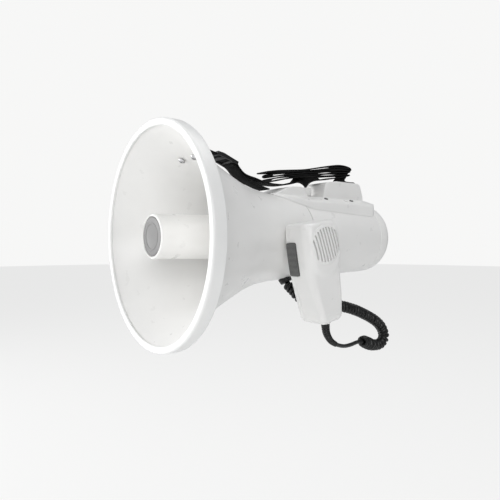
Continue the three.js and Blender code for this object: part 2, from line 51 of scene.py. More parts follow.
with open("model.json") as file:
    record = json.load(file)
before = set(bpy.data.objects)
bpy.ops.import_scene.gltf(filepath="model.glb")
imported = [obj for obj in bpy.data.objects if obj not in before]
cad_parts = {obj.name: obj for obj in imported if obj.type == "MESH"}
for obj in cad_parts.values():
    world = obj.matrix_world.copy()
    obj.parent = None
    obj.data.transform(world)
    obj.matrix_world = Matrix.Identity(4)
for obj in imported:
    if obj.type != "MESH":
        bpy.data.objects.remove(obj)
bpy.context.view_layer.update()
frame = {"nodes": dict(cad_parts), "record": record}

MM = 0.001
RIM_LOW, RIM_HIGH = (Vector(corner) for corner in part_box("rim_ring"))
# Horn coordinates are millimetres: y = 0 is the mouth plane, x = z = 0 the horn axis.
HORN = Matrix.Translation(
    ((RIM_LOW.x + RIM_HIGH.x) / 2, RIM_LOW.y, (RIM_LOW.z + RIM_HIGH.z) / 2)
) @ Matrix.Scale(MM, 4)
MIC_BACK_X = 58.0
STUD_Y = 151.0
MIC_TILT = math.radians(8.5)
MIC = HORN @ Matrix.Translation((MIC_BACK_X, STUD_Y, 0)) @ Matrix.Rotation(MIC_TILT, 4, "X")
BRACKET = HORN @ Matrix.Translation((0, 45, 84.9)) @ Matrix.Rotation(math.radians(-29.5), 4, "X")
SHOULDER_SLOPE = math.atan2(50.6 - 45, 34 - 18)


# ------------------------------------------------------------------ settings
def length_setting(name, description, default_mm):
    return FloatProperty(name=name, description=description, default=default_mm * MM, subtype="DISTANCE")


def colour_setting(name, description, default):
    return FloatVectorProperty(
        name=name, description=description, default=default, size=3, min=0, max=1, subtype="COLOR"
    )


class MEGAPHONE_PG_finish(bpy.types.PropertyGroup):
    """Colours of the moulded, woven and metal surfaces."""

    shell: colour_setting("Shell", "Off-white of the moulded shells", (0.80, 0.795, 0.78))
    rim: colour_setting("Rim", "White of the mouth ring", (0.80, 0.80, 0.79))
    badge: colour_setting("Badge", "Silver of the round badge", (0.19, 0.188, 0.186))
    button: colour_setting("Button", "Grey of the talk button", (0.115, 0.115, 0.113))
    webbing: colour_setting("Webbing", "Black of the strap", (0.0035, 0.0035, 0.0036))
    cord: colour_setting("Cord", "Black of the cord jacket", (0.004, 0.004, 0.004))


class MEGAPHONE_PG_sizes(bpy.types.PropertyGroup):
    """Sizes of the shapes that stand for the plain frame parts."""

    wall: length_setting("Wall", "Wall thickness of the moulded shells", 2.5)
    wire: length_setting("Cord diameter", "Outer diameter of the cord jacket", 4.5)
    coil: length_setting("Coil diameter", "Outer diameter of the curly stretch", 14.0)
    strap_width: length_setting("Strap width", "Width of the webbing", 20.0)
    strap_thickness: length_setting("Strap thickness", "Thickness of the webbing", 1.5)
    sides: IntProperty(
        name="Round sides", description="Sides of the large turned shells", default=160, min=48,
    )


# ------------------------------------------------------------------ mesh helpers
def new_piece(name, verts, faces, place=HORN):
    """A mesh object from points in the given millimetre frame, with its faces turned outward."""
    mesh = bpy.data.meshes.new(name)
    mesh.from_pydata([tuple(v) for v in verts], [], faces)
    mesh.transform(place)
    piece = bpy.data.objects.new(name, mesh)
    bpy.context.scene.collection.objects.link(piece)
    face_outward(mesh)
    return piece


def face_outward(mesh):
    work = bmesh.new()
    work.from_mesh(mesh)
    bmesh.ops.remove_doubles(work, verts=work.verts, dist=1e-6)
    bmesh.ops.recalc_face_normals(work, faces=work.faces)
    work.to_mesh(mesh)
    work.free()


def apply_modifiers(piece):
    """Leaves the evaluated mesh on the piece and no modifier."""
    graph = bpy.context.evaluated_depsgraph_get()
    graph.update()
    mesh = bpy.data.meshes.new_from_object(piece.evaluated_get(graph))
    piece.modifiers.clear()
    piece.data = mesh
    return piece


def smooth_shade(piece, sharp_degrees=35):
    piece.data.shade_smooth()
    piece.data.set_sharp_from_angle(angle=math.radians(sharp_degrees))


def settle(piece, material, body, *stands_for, slot=None, sharp_degrees=35):
    """Gives the piece its finish, its body and the frame parts that it stands for."""
    if piece.type == "MESH":
        smooth_shade(piece, sharp_degrees)
    piece.data.materials.clear()
    piece.data.materials.append(material)
    if stands_for:
        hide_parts(*stands_for)
    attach(piece, body)
    return piece


def bevel(piece, width, segments=2, angle=35):
    modifier = piece.modifiers.new("soft edges", "BEVEL")
    modifier.width = width * MM
    modifier.segments = segments
    modifier.limit_method = "ANGLE"
    modifier.angle_limit = math.radians(angle)
    modifier.harden_normals = False
    return apply_modifiers(piece)


def carve(piece, *tools, operation="DIFFERENCE"):
    """Joins or cuts the piece with the tools, which are used up."""
    for tool in tools:
        modifier = piece.modifiers.new("carve", "BOOLEAN")
        modifier.operation = operation
        modifier.solver = "EXACT"
        modifier.object = tool
        apply_modifiers(piece)
        bpy.data.objects.remove(tool)
    return piece


def filleted(corners, steps=5):
    """A closed outline from (a, b, radius) corners, each rounded to its radius."""
    outline = []
    count = len(corners)
    for i, (a, b, radius) in enumerate(corners):
        here = Vector((a, b))
        if radius <= 0:
            outline.append(here)
            continue
        before = (Vector(corners[i - 1][:2]) - here).normalized()
        after = (Vector(corners[(i + 1) % count][:2]) - here).normalized()
        half = before.angle(after) / 2
        if half > math.radians(89):
            outline.append(here)
            continue
        reach = radius / math.tan(half)
        start, end = here + before * reach, here + after * reach
        centre = here + (before + after).normalized() * radius / math.sin(half)
        for k in range(steps + 1):
            mix = start.lerp(end, k / steps) - centre
            outline.append(centre + mix.normalized() * radius)
    return [tuple(p) for p in outline]


def smooth_line(points, per_span=8):
    """Points on a curve that passes through the given ones, of any dimension."""
    knots = [Vector(p) for p in points]
    knots = [knots[0] * 2 - knots[1], *knots, knots[-1] * 2 - knots[-2]]
    line = []
    for a, b, c, d in zip(knots, knots[1:], knots[2:], knots[3:]):
        for k in range(per_span):
            t = k / per_span
            line.append(
                (
                    (b * 2) + (c - a) * t + (a * 2 - b * 5 + c * 4 - d) * t * t
                    + (b * 3 - a - c * 3 + d) * t**3
                ) / 2
            )
    return [*line, knots[-2]]


def evenly(points, step):
    """The same line with points a fixed distance apart."""
    line = [Vector(p) for p in points]
    total = sum((b - a).length for a, b in zip(line, line[1:]))
    count = max(2, round(total / step))
    spaced, travelled, i = [line[0].copy()], 0.0, 0
    for k in range(1, count):
        goal = total * k / count
        while travelled + (line[i + 1] - line[i]).length < goal:
            travelled += (line[i + 1] - line[i]).length
            i += 1
        spaced.append(line[i].lerp(line[i + 1], (goal - travelled) / (line[i + 1] - line[i]).length))
    return [*spaced, line[-1].copy()]


def line_length(points):
    return sum((b - a).length for a, b in zip(points, points[1:]))


def turned(name, profile, sides=96, place=HORN):
    """A solid of revolution about the horn axis from a closed profile of (radius, y)."""
    verts, faces, rings = [], [], []
    for radius, y in profile:
        if radius < 1e-6:
            rings.append([len(verts)] * sides)
            verts.append((0, y, 0))
        else:
            rings.append(list(range(len(verts), len(verts) + sides)))
            turn = 2 * math.pi / sides
            verts += [(radius * math.cos(k * turn), y, radius * math.sin(k * turn)) for k in range(sides)]
    for low, high in zip(rings, rings[1:] + rings[:1]):
        for k in range(sides):
            corner = [low[k], low[(k + 1) % sides], high[(k + 1) % sides], high[k]]
            face = list(dict.fromkeys(corner))
            if len(face) > 2:
                faces.append(face)
    return new_piece(name, verts, faces, place)


def lofted(name, rings, place=HORN, caps=True):
    """A skin over rings that hold the same number of points, closed at both ends."""
    count = len(rings[0])
    verts = [p for ring in rings for p in ring]
    faces = []
    for k in range(len(rings) - 1):
        for i in range(count):
            a, b = k * count + i, k * count + (i + 1) % count
            faces.append([a, b, b + count, a + count])
    if caps:
        faces.append(list(range(count))[::-1])
        faces.append(list(range(len(verts) - count, len(verts))))
    return new_piece(name, verts, faces, place)


def block(name, low, high, place=HORN):
    corners = [(x, y, z) for z in (low[2], high[2]) for y in (low[1], high[1]) for x in (low[0], high[0])]
    faces = [(0, 2, 3, 1), (4, 5, 7, 6), (0, 1, 5, 4), (2, 6, 7, 3), (0, 4, 6, 2), (1, 3, 7, 5)]
    return new_piece(name, corners, faces, place)


def bar(name, radius, start, end, sides=32, place=HORN, stretch=(1, 1)):
    """A round or oval bar between two points."""
    axis = (Vector(end) - Vector(start)).normalized()
    side = axis.orthogonal().normalized() if abs(axis.x) < 0.9 else Vector((0, 1, 0))
    up = axis.cross(side).normalized()
    rings = []
    for centre in (Vector(start), Vector(end)):
        rings.append([
            centre + side * radius * stretch[0] * math.cos(2 * math.pi * k / sides)
            + up * radius * stretch[1] * math.sin(2 * math.pi * k / sides)
            for k in range(sides)
        ])
    return lofted(name, rings, place)


def slab(name, outline, width, place=HORN):
    """An outline of (y, z) points made width wide across x."""
    return lofted(name, [[(x, y, z) for y, z in outline] for x in (-width / 2, width / 2)], place)


def sweep_frames(path):
    """A tangent and two cross directions at each point of the path, without sudden turns."""
    tangents = [(b - a).normalized() for a, b in zip(path, path[1:])]
    tangents = [tangents[0], *[(a + b).normalized() for a, b in zip(tangents, tangents[1:])], tangents[-1]]
    normal = tangents[0].orthogonal().normalized()
    frames = []
    for tangent in tangents:
        normal = (normal - tangent * normal.dot(tangent)).normalized()
        frames.append((tangent, normal, tangent.cross(normal)))
    return frames


def swept(name, path, radius_at, sides=12, place=HORN):
    """A closed round tube along the path; radius_at takes the share of the way and the point's index."""
    frames = sweep_frames(path)
    rings = []
    for i, (centre, (_, normal, binormal)) in enumerate(zip(path, frames)):
        radius = radius_at(i / (len(path) - 1), i)
        rings.append([
            centre + normal * radius * math.cos(2 * math.pi * k / sides)
            + binormal * radius * math.sin(2 * math.pi * k / sides)
            for k in range(sides)
        ])
    return lofted(name, rings, place)


# ------------------------------------------------------------------ materials
def node_material(name):
    material = bpy.data.materials.new(name)
    material.use_nodes = True
    tree = material.node_tree
    shader = tree.nodes["Principled BSDF"]
    return material, tree, shader


def link(tree, source, output, target, entry):
    tree.links.new(source.outputs[output], target.inputs[entry])


def add_node(tree, kind, **values):
    node = tree.nodes.new("ShaderNode" + kind)
    for key, value in values.items():
        if key in node.inputs:
            node.inputs[key].default_value = value
        else:
            setattr(node, key, value)
    return node


def noise(tree, scale, detail=3.0, roughness=0.55):
    place = tree.nodes.new("ShaderNodeTexCoord")
    texture = add_node(tree, "TexNoise", Scale=scale, Detail=detail, Roughness=roughness)
    link(tree, place, "Object", texture, "Vector")
    return texture


def tone(tree, texture, dark, light, low=0.3, high=0.7, output="Fac"):
    ramp = tree.nodes.new("ShaderNodeValToRGB")
    ramp.color_ramp.elements[0].position = low
    ramp.color_ramp.elements[1].position = high
    ramp.color_ramp.elements[0].color = (*dark, 1)
    ramp.color_ramp.elements[1].color = (*light, 1)
    link(tree, texture, output, ramp, "Fac")
    return ramp


def scaled(colour, factor):
    return tuple(min(1.0, channel * factor) for channel in colour)


def bumped(tree, shader, texture, strength, distance, output="Fac"):
    bump = add_node(tree, "Bump", Strength=strength, Distance=distance)
    link(tree, texture, output, bump, "Height")
    link(tree, bump, "Normal", shader, "Normal")
    return bump


def moulded(name, colour, low_gloss, high_gloss, grain=2400, grain_depth=0.00002, strength=0.25):
    """Injection-moulded plastic: faint colour drift, uneven gloss and a fine moulded grain."""
    material, tree, shader = node_material(name)
    variation = tone(tree, noise(tree, 14, 4), scaled(colour, 0.965), scaled(colour, 1.02))
    link(tree, variation, "Color", shader, "Base Color")
    gloss = add_node(tree, "MapRange", **{"To Min": low_gloss, "To Max": high_gloss})
    link(tree, noise(tree, 60, 5), "Fac", gloss, "Value")
    link(tree, gloss, "Result", shader, "Roughness")
    bumped(tree, shader, noise(tree, grain, 2), strength, grain_depth)
    shader.inputs["Specular IOR Level"].default_value = 0.45
    return material


def metal(name, colour, low_gloss, high_gloss, streak=900):
    material, tree, shader = node_material(name)
    variation = tone(tree, noise(tree, 90, 4), scaled(colour, 0.85), scaled(colour, 1.08))
    link(tree, variation, "Color", shader, "Base Color")
    gloss = add_node(tree, "MapRange", **{"To Min": low_gloss, "To Max": high_gloss})
    link(tree, noise(tree, streak, 4), "Fac", gloss, "Value")
    link(tree, gloss, "Result", shader, "Roughness")
    bumped(tree, shader, noise(tree, streak, 3), 0.15, 0.00002)
    shader.inputs["Metallic"].default_value = 1.0
    return material


def woven(name, colour, width):
    """Strap webbing: ribs along the strap with a cross weave, painted lighter on the raised ribs and darker in
    the dips, from the piece's own cloth coordinates.
    """
    material, tree, shader = node_material(name)
    cloth = add_node(tree, "Attribute", attribute_name="cloth")
    split = tree.nodes.new("ShaderNodeSeparateXYZ")
    link(tree, cloth, "Vector", split, "Vector")
    waves = []
    for output, pitch in (("X", width / 11), ("Y", 0.0017)):
        turn = add_node(tree, "Math", operation="MULTIPLY")
        turn.inputs[1].default_value = 2 * math.pi / pitch
        link(tree, split, output, turn, 0)
        wave = add_node(tree, "Math", operation="SINE")
        link(tree, turn, "Value", wave, 0)
        waves.append(wave)
    weave = add_node(tree, "Math", operation="MULTIPLY")
    link(tree, waves[0], "Value", weave, 0)
    link(tree, waves[1], "Value", weave, 1)
    ribs = add_node(tree, "Math", operation="ADD")
    link(tree, weave, "Value", ribs, 0)
    link(tree, waves[0], "Value", ribs, 1)
    share = add_node(tree, "MapRange", **{"From Min": -2.0, "From Max": 2.0})
    link(tree, ribs, "Value", share, "Value")
    # Painted highlight on the raised ribs and painted shade in the weave's dips, from the same height that
    # drives the bump.
    shade = tone(tree, share, scaled(colour, 0.45), scaled(colour, 2.2), 0.15, 0.85, "Result")
    link(tree, shade, "Color", shader, "Base Color")
    bumped(tree, shader, share, 0.9, 0.00035, "Result")
    shader.inputs["Roughness"].default_value = 0.72
    shader.inputs["Specular IOR Level"].default_value = 0.22
    return material


def rubbery(name, colour, low_gloss, high_gloss):
    material, tree, shader = node_material(name)
    variation = tone(tree, noise(tree, 120, 4), scaled(colour, 0.7), scaled(colour, 1.8))
    link(tree, variation, "Color", shader, "Base Color")
    gloss = add_node(tree, "MapRange", **{"To Min": low_gloss, "To Max": high_gloss})
    link(tree, noise(tree, 200, 4), "Fac", gloss, "Value")
    link(tree, gloss, "Result", shader, "Roughness")
    bumped(tree, shader, noise(tree, 1500, 3), 0.25, 0.00004)
    shader.inputs["Specular IOR Level"].default_value = 0.35
    return material


def stippled(name, colour):
    """Textured button plastic: raised pips close together, painted lighter on their tops and darker in the
    gaps between them.
    """
    material, tree, shader = node_material(name)
    place = tree.nodes.new("ShaderNodeTexCoord")
    pips = add_node(tree, "TexVoronoi", Scale=820.0, Randomness=0.35)
    link(tree, place, "Object", pips, "Vector")
    # Painted highlight on the pip tops and painted shade in the gaps between pips, following the pip relief of
    # the bump.
    variation = tone(tree, pips, scaled(colour, 1.35), scaled(colour, 0.75), 0.1, 0.6, "Distance")
    link(tree, variation, "Color", shader, "Base Color")
    bump = bumped(tree, shader, pips, 0.6, 0.0003, "Distance")
    bump.invert = True
    gloss = add_node(tree, "MapRange", **{"To Min": 0.5, "To Max": 0.68})
    link(tree, noise(tree, 160, 4), "Fac", gloss, "Value")
    link(tree, gloss, "Result", shader, "Roughness")
    return material


MATERIALS = {}


def make_materials(finish, sizes):
    MATERIALS.update(
        shell_plastic=moulded("shell plastic", finish.shell, 0.24, 0.34),
        rim_plastic=moulded("rim plastic", finish.rim, 0.30, 0.42),
        badge_silver=moulded("badge silver", finish.badge, 0.32, 0.45, 5200, 0.00004, 0.5),
        dark_plastic=moulded("dark plastic", finish.button, 0.45, 0.6, 1800),
        button_plastic=stippled("button plastic", finish.button),
        black_plastic=moulded("black plastic", (0.005, 0.005, 0.005), 0.36, 0.5, 1500, 0.00003),
        webbing=woven("strap webbing", finish.webbing, sizes.strap_width),
        black_rubber=rubbery("cord jacket", finish.cord, 0.30, 0.45),
        steel=metal("screw steel", (0.62, 0.62, 0.63), 0.22, 0.38),
        zinc_steel=metal("zinc steel", (0.42, 0.43, 0.44), 0.35, 0.5),
        ferrite=rubbery("ferrite", (0.03, 0.03, 0.032), 0.55, 0.75),
        phenolic=moulded("phenolic", (0.32, 0.15, 0.05), 0.45, 0.6),
        copper_wire=metal("copper wire", (0.72, 0.33, 0.16), 0.3, 0.45),
        brass_contacts=metal("contact brass", (0.72, 0.55, 0.25), 0.25, 0.4),
        circuit_board=moulded("circuit board", (0.02, 0.12, 0.04), 0.35, 0.5),
        cell_jacket=moulded("cell jacket", (0.03, 0.035, 0.045), 0.2, 0.32),
        foam=rubbery("foam", (0.03, 0.03, 0.03), 0.85, 0.95),
    )


# ------------------------------------------------------------------ camera, light and floor
class MEGAPHONE_OT_stage(bpy.types.Operator):
    """Camera, soft studio light, pale floor and backdrop"""

    bl_idname = "megaphone.stage"
    bl_label = "Stage"

    def execute(self, context):
        make_camera(context.scene)
        make_lights()
        make_floor()
        make_world(context.scene)
        context.scene.view_settings.view_transform = "Standard"
        return {"FINISHED"}


CAMERA_POINT = (411.3, -193.7, -4.9)
CAMERA_YAW = math.radians(52.26)
CAMERA_DIP = math.radians(1.085)


def make_camera(scene):
    data = bpy.data.cameras.new("camera")
    data.sensor_width = 36
    data.lens = 32.4
    data.clip_start, data.clip_end = 0.01, 50
    camera = bpy.data.objects.new("camera", data)
    scene.collection.objects.link(camera)
    camera.location = HORN @ Vector(CAMERA_POINT)
    ahead = Vector((
        -math.sin(CAMERA_YAW) * math.cos(CAMERA_DIP),
        math.cos(CAMERA_YAW) * math.cos(CAMERA_DIP),
        -math.sin(CAMERA_DIP),
    ))
    camera.rotation_mode = "QUATERNION"
    camera.rotation_quaternion = ahead.to_track_quat("-Z", "Y")
    scene.camera = camera


def soft_lamp(name, place, aim, size, watts):
    data = bpy.data.lights.new(name, "AREA")
    data.shape = "DISK"
    data.size = size
    data.energy = watts
    lamp = bpy.data.objects.new(name, data)
    bpy.context.scene.collection.objects.link(lamp)
    lamp.location = place
    lamp.rotation_mode = "QUATERNION"
    lamp.rotation_quaternion = (Vector(aim) - Vector(place)).to_track_quat("-Z", "Y")


def make_lights():
    aim = (0.0, -0.04, 0.05)
    soft_lamp("key lamp", (-1.1, -1.5, 0.4), aim, 1.5, 29)
    soft_lamp("fill lamp", (1.7, -1.2, 0.6), aim, 1.2, 16)
    soft_lamp("top lamp", (0.1, 0.3, 1.8), aim, 1.3, 14)


PALE = (0.93, 0.93, 0.925)


def make_floor():
    """A pale disc far below the carried megaphone, seen by the camera mostly as the pale backdrop colour."""
    floor = turned("floor", [(0, 0), (9000, 0), (9000, 4), (0, 4)], 64, Matrix.Translation((0, 0, -0.42))
                   @ Matrix.Rotation(math.pi / 2, 4, "X") @ Matrix.Scale(MM, 4))
    material, tree, shader = node_material("floor")
    speckle = tone(tree, noise(tree, 6, 3), scaled(PALE, 0.99), PALE)
    link(tree, speckle, "Color", shader, "Base Color")
    shader.inputs["Roughness"].default_value = 0.9
    glow = add_node(tree, "Emission", Color=(*PALE, 1), Strength=1.0)
    mix = tree.nodes.new("ShaderNodeMixShader")
    rays = tree.nodes.new("ShaderNodeLightPath")
    half = add_node(tree, "Math", operation="MULTIPLY")
    half.inputs[1].default_value = 0.8
    link(tree, rays, "Is Camera Ray", half, 0)
    link(tree, half, "Value", mix, 0)
    tree.links.new(shader.outputs[0], mix.inputs[1])
    tree.links.new(glow.outputs[0], mix.inputs[2])
    tree.links.new(mix.outputs[0], tree.nodes["Material Output"].inputs[0])
    floor.data.materials.append(material)


def make_world(scene):
    world = bpy.data.worlds.new("studio")
    world.use_nodes = True
    scene.world = world
    tree = world.node_tree
    lit = tree.nodes["Background"]
    lit.inputs["Color"].default_value = (0.92, 0.94, 0.97, 1)
    lit.inputs["Strength"].default_value = 0.36
    seen = add_node(tree, "Background", Color=(*PALE, 1), Strength=1.0)
    rays = tree.nodes.new("ShaderNodeLightPath")
    either = add_node(tree, "Math", operation="MAXIMUM")
    link(tree, rays, "Is Camera Ray", either, 0)
    link(tree, rays, "Is Transmission Ray", either, 1)
    mix = tree.nodes.new("ShaderNodeMixShader")
    link(tree, either, "Value", mix, 0)
    tree.links.new(lit.outputs[0], mix.inputs[1])
    tree.links.new(seen.outputs[0], mix.inputs[2])
    tree.links.new(mix.outputs[0], tree.nodes["World Output"].inputs[0])


# ------------------------------------------------------------------ cord
WIRE_R = 2.25
BOOT_ROUTE = [(77.5, 169.6, -104.2), (76, 177.7, -113.7), (74.5, 187.6, -119.5)]
BOOT_END = Vector(BOOT_ROUTE[-1])
NECK_EXIT = Vector((14, 166, -48.9))
SOCKET_WAY = Vector((0.45, 0.2, -0.87)).normalized()
SOCKET_TIP = NECK_EXIT + SOCKET_WAY * 5
GLAND_X, GLAND_Y, GLAND_LOW = 20.0, 2.0, -94.4
MIC_EXIT = (HORN.inverted() @ MIC) @ Vector((GLAND_X, GLAND_Y, GLAND_LOW - 0.3))
STRAIGHT_ROUTE = [
    (73, 196.8, -122.6), (71, 207.7, -125), (68.5, 221.3, -125.7), (66, 233.4, -125.3), (64, 243.4, -125.6),
]
COIL_ROUTE = [
    (63.88, 244.2, -125.65), (63.3, 250.5, -126.6), (62.4, 259.5, -130.2), (62, 271.3, -134.2),
    (61, 286, -134.9), (60.5, 295, -128), (60, 291.5, -116), (59.5, 278.5, -104.8), (58, 254.6, -93.1),
    (56, 234.3, -85.7), (53, 216.1, -81.1), (48, 199, -79), (41, 184.5, -77), (32.5, 173.7, -70.5),
    (24.5, 169.8, -62),
]
COIL_PITCH = 4.75
TURN_POINTS = 14


def coil_line(sizes):
    """The curly stretch's wire, turn by turn, from its free end to the socket."""
    centre = evenly(smooth_line([*COIL_ROUTE, SOCKET_TIP + SOCKET_WAY * 4, SOCKET_TIP]), 0.5)
    frames = sweep_frames(centre)
    total = line_length(centre)
    count = int(total / COIL_PITCH * TURN_POINTS)
    outer = sizes.coil / 2 / MM - WIRE_R
    wire = []
    for k in range(count + 1):
        share = k / count
        place = share * (len(centre) - 1)
        i = min(int(place), len(centre) - 2)
        middle = centre[i].lerp(centre[i + 1], place - i)
        _, normal, binormal = frames[i]
        turn = 2 * math.pi * k / TURN_POINTS
        from_end = share * total
        loose = 1.1 * math.exp(-((from_end - 16) / 11) ** 2)
        tight = min(1.0, from_end / 5, (total - from_end) / 5)
        radius = (outer + loose) * (0.12 + 0.88 * tight)
        lean = loose * 1.4 * math.sin(turn + 0.8)
        wire.append(
            middle + normal * radius * math.cos(turn) + binormal * radius * math.sin(turn)
            + frames[i][0] * lean
        )
    return wire


class MEGAPHONE_OT_cord(bpy.types.Operator):
    """Straight and curly cord in one length, with its ribbed boots"""

    bl_idname = "megaphone.cord"
    bl_label = "Cord"

    def execute(self, context):
        sizes = context.scene.megaphone_sizes
        straight = smooth_line([BOOT_END, *STRAIGHT_ROUTE], 6)[:-2]
        wire = evenly(smooth_line([*straight[::3], *coil_line(sizes)], 1), 2.1)
        cord = swept("cord", wire, lambda share, i: WIRE_R, 10)
        smooth_shade(cord)
        cord.data.materials.append(MATERIALS["black_rubber"])
        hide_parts("cord_straight", "cord_coil")
        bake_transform(cord)
        boot = self.ribbed_boot()
        socket = self.ribbed_socket()
        return {"FINISHED"}

    def ribbed_boot(self):
        """Tapered strain relief under the microphone, with ring grooves."""
        path = evenly(smooth_line([MIC_EXIT, *BOOT_ROUTE], 12), 0.32)

        def radius(share, i):
            groove = 0.7 * max(0.0, math.sin(i * 0.32 / 2.4 * 2 * math.pi)) if 0.1 < share < 0.94 else 0.0
            return 4.7 - 1.7 * share - groove

        boot = swept("cord_boot", path, radius, 24)
        return settle(boot, MATERIALS["black_rubber"], "microphone", "cord_boot_mic", slot="black_rubber",
                      sharp_degrees=70)

    def ribbed_socket(self):
        path = evenly([NECK_EXIT - SOCKET_WAY * 1.2, SOCKET_TIP], 0.3)
        socket = swept("neck_socket", path, lambda share, i: 8.2 - 0.9 * share
                       - 0.4 * max(0.0, math.sin(i * 0.3 / 2.6 * 2 * math.pi)), 36)
        return settle(socket, MATERIALS["black_rubber"], "housing", "cord_socket", slot="black_rubber",
                      sharp_degrees=70)


# ------------------------------------------------------------------ horn
BELL_LINE = [
    (4.3, 109.8), (14, 103.6), (44, 85.5), (77, 69.8), (96, 61.8), (117, 55.6), (138, 52.4), (161, 51),
    (180.3, 50),
]
REFLECTOR_LINE = [(4.6, 22.6), (30, 22.8), (80, 24.6), (120, 28), (150, 33)]
SCREW_X = 12.5


def offset_line(line, offset):
    """The (y, radius) line as (radius, y) points, moved outward by offset."""
    points = []
    for i, here in enumerate(line):
        along = (line[min(i + 1, len(line) - 1)] - line[max(i - 1, 0)]).normalized()
        points.append((here.y + offset * along.x, here.x - offset * along.y))
    return points


class MEGAPHONE_OT_horn(bpy.types.Operator):
    """Bell, mouth ring, reflector with its badge, throat and horn back"""

    bl_idname = "megaphone.horn"
    bl_label = "Horn"

    def execute(self, context):
        sizes = context.scene.megaphone_sizes
        plastic = MATERIALS["shell_plastic"]
        line = smooth_line(BELL_LINE, 7)
        outer = offset_line(line, 0)
        inner = offset_line(line, -sizes.wall / MM)[::-1]
        bell = turned("bell_shell", [*outer, *inner], sizes.sides)
        settle(bell, plastic, "housing", "bell", slot="shell_plastic", sharp_degrees=50)
        rim = turned("mouth_ring", filleted([
            (107.4, 0, 1.7), (115, 0, 2.4), (115, 14, 1.8), (104.8, 14, 0.5), (106.4, 11.2, 0.3),
            (112, 11.2, 0.4), (112, 2.8, 0.2), (107.4, 2.8, 0.3),
        ]), sizes.sides)
        settle(rim, MATERIALS["rim_plastic"], "housing", "rim_ring", slot="rim_plastic", sharp_degrees=40)
        self.reflector(plastic)
        throat = turned("throat", filleted([
            (11, 34, 0.9), (13, 34, 0.9), (8.6, 150, 0), (8.6, 178.3, 0.4), (16, 178.3, 0.4), (16, 181, 0.4),
            (5.5, 181, 0), (6.6, 150, 0),
        ]), 64)
        settle(throat, plastic, "housing", "throat_tube", slot="shell_plastic")
        back = turned("horn_back_dish", [
            (9, 174), *smooth_line([(20, 173.8), (28, 173), (36, 171), (42, 167), (46.4, 160)], 5),
            (47.3, 160), (47.3, 178), (9, 178),
        ], 96)
        settle(back, plastic, "housing", "horn_back", slot="shell_plastic")
        return {"FINISHED"}

    def reflector(self, plastic):
        line = smooth_line(REFLECTOR_LINE, 8)
        outer = offset_line(line, 0)
        inner = [(r - 1.9, max(y, 6.2)) for r, y in outer][::-1]
        nose = filleted([
            (0, 3.2, 0), (20.1, 3.2, 0.2), (20.1, 1.6, 0.5), (22.6, 1.6, 2.2), outer[1] + (0,),
        ], 6)
        reflector = turned("reflector", [*nose[:-1], *outer[1:], *inner, (0, 6.2)], 96)
        settle(reflector, plastic, "housing", "reflector_horn", slot="shell_plastic")
        badge = turned("badge", filleted([
            (0, 1.7, 0), (12, 1.7, 0.3), (12.5, 1.25, 0.2), (13.5, 1.25, 0.2),
            (14, 1.7, 0.3), (18.8, 1.7, 0.6),
            (19.6, 2.3, 0.3), (19.6, 2.9, 0), (0, 2.9, 0),
        ], 4), 96)
        settle(badge, MATERIALS["badge_silver"], "housing", "nose_badge", slot="badge_silver")


# ------------------------------------------------------------------ body
DOME_Y, DOME_R, DOME_DEPTH = 317.5, 46.5, 29.0
FRONT_BLOCK = [
    (144, 44), (144, 49.5), (166, 58.6), (174, 60.6), (188, 61.2), (193.5, 59.8), (199, 51), (199, 44),
]
REAR_BLOCK = [
    (225, 44), (227, 57), (230, 67.4), (234, 70.4), (250, 72.8), (292, 73), (297, 71), (303, 56), (303, 44),
]
PLINTH_SIDE = [(39, 22), (36.6, 42), (34, 45), (18, 50.6), (0, 52.3)]
LAMP_Y = (224, 272)
SWITCH_Y = 246
KNOB_Y = 212


def shoulder(side, y):
    return HORN @ Matrix.Translation((side * 26, y, 47.8)) @ Matrix.Rotation(side * SHOULDER_SLOPE, 4, "Y")


